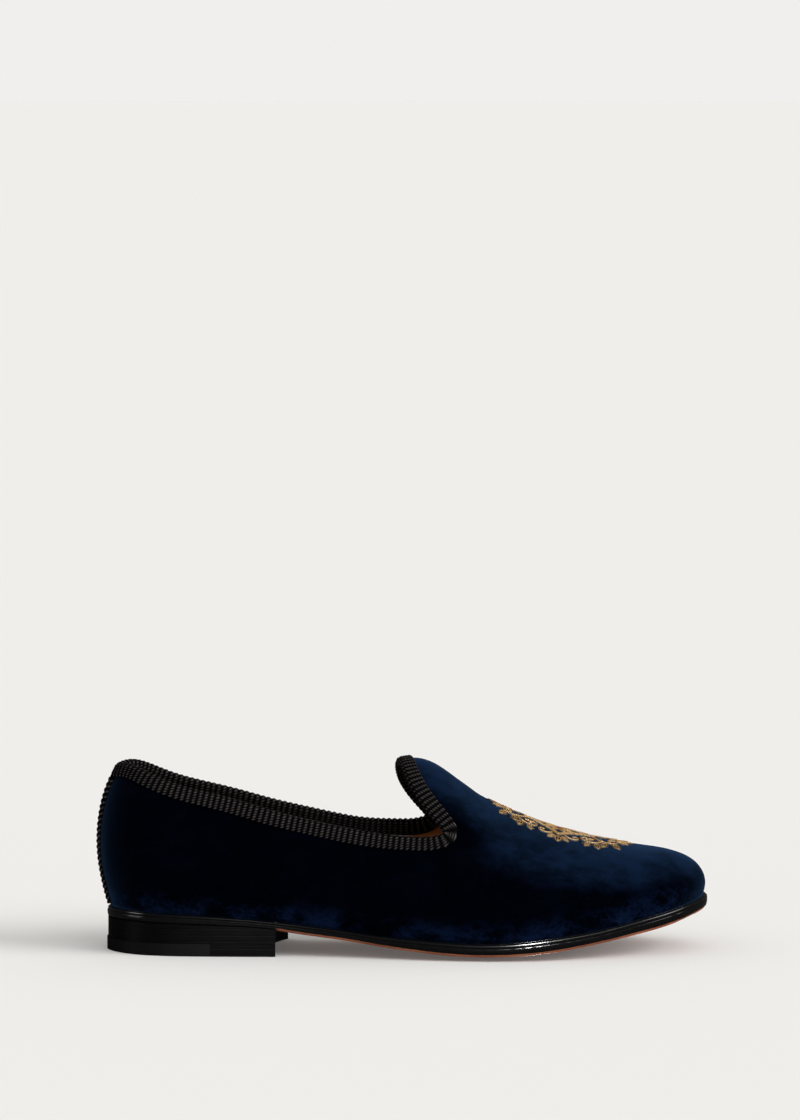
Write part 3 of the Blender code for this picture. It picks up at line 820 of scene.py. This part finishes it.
def make_under(feather):
    """Sock, rand, sole and heel, with the clearance between them closed."""
    plan = tree_of([(point.x, point.y, 0) for point in feather])
    levels = [point.z for point in feather]
    up = (0, 0, CAD_GAP)
    sock = rounded("insole", "sock", 0.6 * MM)
    tan = lining_leather("tan_sock", (0.44, 0.19, 0.06), (0.33, 0.13, 0.04))
    dress(sock, tan, "lining_leather", "insole")
    rand = rounded("rand", "waxed_rand", 0.25 * MM)
    bulge(rand, plan, levels, max)
    dress(rand, waxed_edge(), "black_edge", "rand")
    sole = rounded("outsole", "leather_sole", 0.35 * MM)
    inside = surface(sole)
    heights = []
    for vertex in sole.data.vertices:
        inwards = Vector((-vertex.normal.x, -vertex.normal.y, 0)) * 1.2 * MM
        start = vertex.co + inwards + Vector((0, 0, 0.05 * MM))
        hit = inside.ray_cast(start, Vector((0, 0, -1)))
        height = start.z - hit[0].z if hit[0] and hit[3] < 0.01 else 0.0
        heights.append(SOLE_THICK if vertex.normal.z > 0.2 else height)
    note(sole, "above_underside", heights)
    bulge(sole, plan, levels, min)
    moved(sole, up, lambda place, normal: normal.z > 0.3)
    dress(sole, sole_leather(), "sole_leather", "outsole")
    lifts = heel_leather()
    stack = moved(
        rounded("heel_stack", "heel_lifts", 0.3 * MM), up, lambda place, normal: place.z > STACK_MIDDLE
    )
    dress(stack, lifts, "heel_leather", "heel_stack")
    front = rounded("heel_top_piece_leather", "top_piece_leather", 0.35 * MM)
    moved(front, up, lambda place, normal: place.z > TOP_PIECE_MIDDLE)
    dress(front, lifts, "heel_leather", "heel_top_piece_leather")
    rear = rounded("heel_top_piece_rubber", "top_piece_rubber", 0.35 * MM)
    moved(rear, up, lambda place, normal: place.z > TOP_PIECE_MIDDLE)
    joint = max(vertex.co.x for vertex in rear.data.vertices) - 0.6 * MM
    moved(rear, (CAD_GAP, 0, 0), lambda place, normal: place.x > joint)
    dress(rear, heel_rubber(), "heel_rubber", "heel_top_piece_rubber")


# Embroidery


class Vamp:
    """The vamp as a flat cloth: s runs down its ridge towards the toe and t across it, in metres."""

    def __init__(self, velvet):
        self.skin = surface(velvet)
        ridge = []
        for i in range(RIDGE_STEPS):
            x = (RIDGE_START + i * RIDGE_STEP) * MM
            hit = self.skin.ray_cast(Vector((x, RIDGE_Y, 0.2)), Vector((0, 0, -1)))[0]
            ridge.append(tuple(hit))
        ridge = smoothed(np.array(ridge), 6, closed=False)
        run = np.concatenate([[0], np.cumsum(np.linalg.norm(np.diff(ridge, axis=0), axis=1))])
        run -= np.interp(ORNAMENT_X, ridge[:, 0], run)
        self.grid = []
        for s in np.arange(-VAMP_HALF[0], VAMP_HALF[0] + 0.5) * MM:
            here, ahead = (
                Vector([np.interp(s + step, run, ridge[:, k]) for k in range(3)])
                for step in (0, 1 * MM)
            )
            forward = (ahead - here).normalized()
            out = Vector((-forward.z, 0, forward.x))
            halves = [self.across(here, out, side) for side in (-1, 1)]
            self.grid.append(halves[0][:0:-1] + halves[1])
        self.grid = np.array(self.grid)

    def across(self, start, out, side):
        """Points a millimetre apart over the cloth, from the ridge to one side."""
        found = []
        for i in range(120):
            origin = start + Vector((0, side * i * 0.25 * MM, 0)) + out * 30 * MM
            hit = self.skin.ray_cast(origin, -out, 0.1)[0]
            if not hit:
                break
            found.append(tuple(hit))
        found = np.array(found)
        run = np.concatenate([[0], np.cumsum(np.linalg.norm(np.diff(found, axis=0), axis=1))])
        wanted = np.arange(VAMP_HALF[1] + 1) * MM
        return [tuple(np.interp(w, run, found[:, k]) for k in range(3)) for w in wanted]

    def at(self, s, t):
        """The velvet's place and normal at a point of the flat cloth, in millimetres."""
        i = min(max(s + VAMP_HALF[0], 0), 2 * VAMP_HALF[0] - 0.001)
        j = min(max(t + VAMP_HALF[1], 0), 2 * VAMP_HALF[1] - 0.001)
        a, b = int(i), int(j)
        u, v = i - a, j - b
        low = self.grid[a, b] * (1 - v) + self.grid[a, b + 1] * v
        high = self.grid[a + 1, b] * (1 - v) + self.grid[a + 1, b + 1] * v
        seat = self.skin.find_nearest(Vector(low * (1 - u) + high * u))
        return seat[0], seat[1]


def flowing(points):
    """A smooth line through a few points of the flat cloth, in steps of about FLOW_STEP."""
    points = np.array(points, float)
    last = len(points) - 1
    found = []
    for i in range(last):
        a, b, c, d = (points[min(max(i + k, 0), last)] for k in (-1, 0, 1, 2))
        pieces = max(2, int(np.linalg.norm(c - b) / FLOW_STEP))
        for k in range(pieces):
            u = k / pieces
            found.append(
                0.5 * (2 * b + (c - a) * u + (2 * a - 5 * b + 4 * c - d) * u**2
                       + (3 * b - a - 3 * c + d) * u**3)
            )
    found.append(points[-1])
    return np.array(found)


def mirrored(lines):
    """Lines of the flat cloth and their images in both axes, without doubles."""
    found = []
    for line in lines:
        line = np.array(line, float)
        for flip in ((1, 1), (1, -1), (-1, 1), (-1, -1)):
            image = line * flip
            if not any(other.shape == image.shape and np.allclose(other, image) for other in found):
                found.append(image)
    return found


def in_four(table):
    """Knots and their images in both axes, without doubles."""
    return sorted({(s * a, t * b, radius) for s, t, radius in table for a in (-1, 1) for b in (-1, 1)})


def leaf(s, t, angle, length, width):
    """Three cords laid side by side in the shape of a leaf, with its outline."""
    turn = math.radians(angle)
    ahead = np.array([math.cos(turn), math.sin(turn)])
    aside = np.array([-math.sin(turn), math.cos(turn)])
    share = np.linspace(0, 1, max(6, int(length / 0.5)))
    belly = np.sin(math.pi * share**0.85)
    lines = []
    for k in (-1, 0, 1):
        bend = (belly * width * k * 0.72)[:, None] * aside
        lines.append(np.array([s, t]) + share[:, None] * ahead * length + bend)
    edge = [np.array([s, t]) + share[:, None] * ahead * length * 1.03
            + (belly * (width + 0.35) * k)[:, None] * aside for k in (-1, 1)]
    return lines, edge


def lozenge(half_length, half_width, hollow=2.5):
    """A four-pointed figure with hollow sides."""
    turns = np.linspace(0, math.tau, 240)
    cosine, sine = np.cos(turns), np.sin(turns)
    return np.column_stack([
        half_length * np.sign(cosine) * abs(cosine) ** hollow,
        half_width * np.sign(sine) * abs(sine) ** hollow,
    ])


def cords(name, vamp, groups, material):
    """Twisted cords laid on the velvet: each group has lines, a radius and a lift in millimetres."""
    sides = 6
    points = []
    faces = []
    marks = []
    for lines, radius, lift in groups:
        for line in lines:
            seats = [vamp.at(*point) for point in line]
            places = np.array([tuple(seat[0] + seat[1] * lift * MM) for seat in seats])
            run = np.concatenate([[0], np.cumsum(np.linalg.norm(np.diff(places, axis=0), axis=1))])
            ahead = np.gradient(places, axis=0)
            first = len(points)
            for i, (seat, place, along) in enumerate(zip(seats, places, run)):
                aside = seat[1].cross(Vector(ahead[i])).normalized()
                end = min(i, len(line) - 1 - i)
                wide = radius * MM * (0.55 if end == 0 else 0.85 if end == 1 else 1.0)
                for k in range(sides):
                    turn = math.tau * k / sides
                    twist = 1 + 0.13 * math.cos(turn + along * math.tau / CORD_TWIST)
                    arm = aside * math.cos(turn) + seat[1] * math.sin(turn)
                    points.append(tuple(Vector(place) + arm * wide * twist))
                    marks.append((along, turn))
                    if i:
                        a = first + i * sides + k
                        b = first + i * sides + (k + 1) % sides
                        faces.append((a - sides, b - sides, b, a))
            last = len(points) - sides
            faces.append(tuple(range(first, first + sides))[::-1])
            faces.append(tuple(range(last, last + sides)))
    return sewn(name, points, faces, marks, material)


def knots(name, vamp, places, material):
    """Small round knots of thread at points of the flat cloth, each with its radius."""
    rings = 4
    sides = 8
    points = []
    faces = []
    marks = []
    for s, t, radius in places:
        seat, out = vamp.at(s, t)
        aside = out.orthogonal().normalized()
        other = out.cross(aside)
        first = len(points)
        for i in range(rings):
            rise = math.pi / 2 * i / rings
            for k in range(sides):
                turn = math.tau * k / sides + i * 0.4
                arm = aside * math.cos(turn) + other * math.sin(turn)
                wide = radius * MM * math.cos(rise) * (1.0 + 0.08 * math.cos(4 * turn))
                points.append(tuple(seat + arm * wide + out * radius * MM * 0.75 * math.sin(rise)))
                marks.append((radius * MM * turn, rise * 3))
                if i:
                    a = first + i * sides + k
                    b = first + i * sides + (k + 1) % sides
                    faces.append((a - sides, b - sides, b, a))
        faces.append(tuple(range(first, first + sides))[::-1])
        faces.append(tuple(range(len(points) - sides, len(points))))
    return sewn(name, points, faces, marks, material)


def sewn(name, points, faces, marks, material):
    """One piece of embroidery, resting on the velvet."""
    mesh = bpy.data.meshes.new(name)
    mesh.from_pydata(points, [], faces)
    piece = bpy.data.objects.new(name, mesh)
    bpy.context.scene.collection.objects.link(piece)
    note(piece, "along", [mark[0] for mark in marks])
    note(piece, "across", [mark[1] for mark in marks])
    face_outwards(piece)
    return dress(piece, material, "velvet")


def make_embroidery(velvet):
    """A symmetrical ornament: a rosette in a hollow-sided lozenge, scrolls and flowers round it."""
    vamp = Vamp(velvet)
    fill = []
    outline = []
    for s, t, angle, length, width in LEAVES:
        images = {
            (s, t, angle), (s, -t, -angle), (-s, t, 180 - angle), (-s, -t, angle - 180),
        }
        for image in sorted(images):
            lines, edge = leaf(*image, length, width)
            fill += lines
            outline += edge
    for k in range(PETALS):
        turn = 360 / PETALS * (k + 0.5)
        along, across = math.cos(math.radians(turn)), math.sin(math.radians(turn))
        lines, edge = leaf(PETAL_START * along, PETAL_START * across, turn, *PETAL_SIZE)
        fill += lines
        outline += edge
    scrolls = mirrored([flowing(line) for line in SCROLLS])
    frame_lines = [lozenge(*halves) for halves in LOZENGES]
    gold = thread("gold_thread", (0.05, 0.020, 0.004), (0.88, 0.52, 0.17), 0.32, 0.15)
    dark = thread("outline_thread", (0.004, 0.002, 0.0015), (0.016, 0.008, 0.004), 0.6, 0.0)
    red = thread("red_thread", (0.10, 0.002, 0.003), (0.42, 0.012, 0.016), 0.5, 0.0)
    teal = thread("teal_thread", (0.002, 0.02, 0.03), (0.012, 0.10, 0.13), 0.5, 0.0)
    cords("gold_cords", vamp, [(scrolls + frame_lines, 0.42, 0.52), (fill, 0.25, 0.42)], gold)
    cords("outline_cords", vamp, [(scrolls + frame_lines, 0.66, 0.0), (outline, 0.34, 0.18)], dark)
    turns = np.arange(PETALS) * math.tau / PETALS
    centre = [(0.0, 0.0, HEART)]
    centre += [(HEART * math.cos(turn), HEART * math.sin(turn), SEED) for turn in turns]
    knots("red_knots", vamp, centre + in_four(RED_KNOTS), red)
    knots("teal_knots", vamp, in_four(TEAL_KNOTS), teal)
    knots("gold_knots", vamp, in_four(GOLD_KNOTS), gold)


# Stage


def make_stage():
    bpy.ops.object.select_all(action="DESELECT")
    bpy.ops.mesh.primitive_plane_add(size=160, location=(0, 0, 0))
    floor = bpy.context.object
    floor.name = "pale_floor"
    paint = Paint(
        "pale_floor", (0.74, 0.7335, 0.7195), 0.9, Specular_IOR_Level=0.0,
        Emission_Color=(1.0, 0.99, 0.972, 1), Emission_Strength=0.09,
    )
    floor.data.materials.append(paint.material)
    floor.visible_glossy = False
    world = bpy.data.worlds.new("studio")
    bpy.context.scene.world = world
    world.use_nodes = True
    backdrop = world.node_tree.nodes["Background"]
    backdrop.inputs["Color"].default_value = (1.0, 0.99, 0.972, 1)
    rays = world.node_tree.nodes.new("ShaderNodeLightPath")
    strength = SKY_ON_GLOSS
    for ray, level in (("Is Diffuse Ray", SKY_LIGHT), ("Is Camera Ray", SKY_SEEN)):
        chosen = world.node_tree.nodes.new("ShaderNodeMapRange")
        for socket, value in (("To Min", strength), ("To Max", level)):
            if isinstance(value, float):
                chosen.inputs[socket].default_value = value
            else:
                world.node_tree.links.new(value, chosen.inputs[socket])
        world.node_tree.links.new(rays.outputs[ray], chosen.inputs["Value"])
        strength = chosen.outputs["Result"]
    world.node_tree.links.new(strength, backdrop.inputs["Strength"])
    bpy.context.scene.view_settings.view_transform = "Standard"


def hang(light, source):
    """A lamp that shines from the direction of source."""
    lamp = bpy.data.objects.new(light.name, light)
    bpy.context.scene.collection.objects.link(lamp)
    lamp.rotation_euler = source.to_track_quat("Z", "Y").to_euler()
    return lamp


def add_sun(name, strength, azimuth, elevation, softness):
    """A far soft light. Azimuth 0 is the camera's side, 90 the toe's."""
    light = bpy.data.lights.new(name, "SUN")
    light.energy = strength
    light.angle = math.radians(softness)
    turn = Matrix.Rotation(math.radians(azimuth), 3, "Z")
    rise = math.radians(elevation)
    hang(light, turn @ Vector((0, -math.cos(rise), math.sin(rise))))


def add_softbox(name, power, direction, distance, width, height):
    """A softbox that only shows in what is glossy."""
    light = bpy.data.lights.new(name, "AREA")
    light.shape = "RECTANGLE"
    light.size = width
    light.size_y = height
    light.energy = power
    source = Vector(direction).normalized()
    lamp = hang(light, source)
    lamp.location = LOOK_AT + source * distance
    lamp.visible_diffuse = False


def make_lights():
    add_sun("key", 0.5, 30, 42, 40)
    add_sun("low_fill", 2.4, 70, 25, 40)
    add_softbox("edge_softbox", 78, (0.22, -0.95, 0.40), 1.3, 0.20, 0.80)
    add_softbox("heel_softbox", 5, (-0.96, -0.30, 0.25), 1.3, 0.45, 0.80)


def make_camera():
    camera = bpy.data.cameras.new("camera")
    camera.sensor_fit = "VERTICAL"
    camera.sensor_height = 36
    camera.lens = 36 * CAMERA_DISTANCE / (IMAGE_HEIGHT * PIXEL_SIZE)
    camera.shift_x = (IMAGE_WIDTH / 2 - LOOK_AT_PIXEL[0]) / IMAGE_HEIGHT
    camera.shift_y = (LOOK_AT_PIXEL[1] - IMAGE_HEIGHT / 2) / IMAGE_HEIGHT
    camera.clip_end = 200
    holder = bpy.data.objects.new("camera", camera)
    bpy.context.scene.collection.objects.link(holder)
    back = Vector((0, -math.cos(CAMERA_ELEVATION), math.sin(CAMERA_ELEVATION)))
    holder.location = LOOK_AT + back * CAMERA_DISTANCE
    holder.rotation_euler = (math.pi / 2 - CAMERA_ELEVATION, 0, 0)
    bpy.context.scene.camera = holder


make_camera()
make_stage()
make_lights()
VELVET, LINING = make_upper()
make_binding(VELVET, LINING)
make_back_strip(VELVET)
make_embroidery(VELVET)
FEATHER = rim_loops(VELVET)[-1]
close_upper(VELVET, LINING)
make_under(FEATHER)
